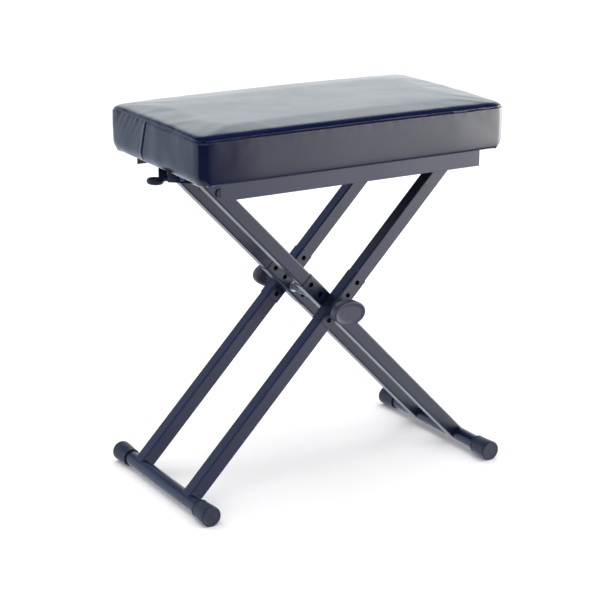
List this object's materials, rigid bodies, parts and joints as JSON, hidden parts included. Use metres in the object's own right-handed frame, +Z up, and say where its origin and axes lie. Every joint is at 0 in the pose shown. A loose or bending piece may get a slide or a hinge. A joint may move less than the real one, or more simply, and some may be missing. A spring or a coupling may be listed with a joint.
{
  "type": "folding keyboard bench",
  "caption": "Folding double-X keyboard bench: padded seat on steel rails, nested square-tube leg frames, clamp knobs at the crossing and a latch lever under the seat.",
  "frame": {"origin": "on the floor under the middle of the seat", "axes": "+X along the seat, from the latch end to the hinge end; +Y to the rear; +Z up"},
  "size_m": [0.5198, 0.29, 0.5546],
  "materials": {
    "vinyl": "semi-gloss black vinyl",
    "foam": "open-cell foam",
    "plywood": "black-stained plywood",
    "black_steel": "satin black powder coat",
    "zinc": "zinc plated",
    "black_plastic": "moulded, fine texture",
    "knob_plastic": "moulded, low sheen",
    "nylon": "natural nylon",
    "rubber": "matt moulded rubber",
    "brass": "turned brass"
  },
  "bodies": {
    "seat": {"seat_cover": "vinyl", "seat_foam": "foam", "seat_board": "plywood", "cover_staples": "zinc", "front_rail": "black_steel", "rear_rail": "black_steel", "rail_screws": "zinc", "hinge_rod": "zinc", "hinge_spacers": "black_plastic", "latch_bracket": "black_steel", "bracket_screws": "zinc", "latch_pin": "zinc", "latch_pin_clip": "zinc", "latch_spring": "zinc"},
    "latch_lever": {"latch_lever": "black_steel", "latch_grip": "black_plastic"},
    "outer_legs": {"outer_front_leg": "black_steel", "outer_rear_leg": "black_steel", "outer_front_sleeve": "black_steel", "outer_rear_sleeve": "black_steel", "outer_front_plug": "black_plastic", "outer_rear_plug": "black_plastic", "outer_front_bushes": "nylon", "outer_rear_bushes": "nylon", "left_foot_bar": "black_steel", "left_cap_front": "rubber", "left_cap_rear": "rubber", "pivot_rod": "zinc", "pivot_spring": "zinc", "inner_washers": "zinc", "knob_washers": "zinc"},
    "inner_legs": {"inner_front_leg": "black_steel", "inner_rear_leg": "black_steel", "inner_front_sleeve": "black_steel", "inner_rear_sleeve": "black_steel", "inner_front_plug": "black_plastic", "inner_rear_plug": "black_plastic", "right_foot_bar": "black_steel", "right_cap_front": "rubber", "right_cap_rear": "rubber", "latch_rod": "zinc", "latch_rod_caps": "black_plastic"},
    "front_knob": {"front_knob": "knob_plastic", "front_knob_insert": "brass"},
    "rear_knob": {"rear_knob": "knob_plastic", "rear_knob_insert": "brass"}
  },
  "joints": [
    {"name": "leg_fold", "type": "hinge", "parent": "seat", "child": "outer_legs", "pos_m": [0.19311, 0, 0.47007], "axis": [0, 1, 0], "range_deg": [0, 43.5]},
    {"name": "leg_crossing", "type": "hinge", "parent": "outer_legs", "child": "inner_legs", "pos_m": [0, 0, 0.2687], "axis": [0, 1, 0], "range_deg": [-87, 0]},
    {"name": "latch_release", "type": "hinge", "parent": "seat", "child": "latch_lever", "pos_m": [-0.21499, 0, 0.47294], "axis": [0, 1, 0], "range_deg": [0, 12], "stiffness_Nm_per_rad": 0.5, "springref_deg": -8.59},
    {"name": "front_knob_turn", "type": "hinge", "parent": "outer_legs", "child": "front_knob", "pos_m": [0, 0, 0.2687], "axis": [0, 1, 0], "continuous": true},
    {"name": "rear_knob_turn", "type": "hinge", "parent": "outer_legs", "child": "rear_knob", "pos_m": [0, 0, 0.2687], "axis": [0, 1, 0], "continuous": true}
  ],
  "couplings": [
    {"joint": "leg_crossing", "follows": "leg_fold", "ratio": -2}
  ]
}
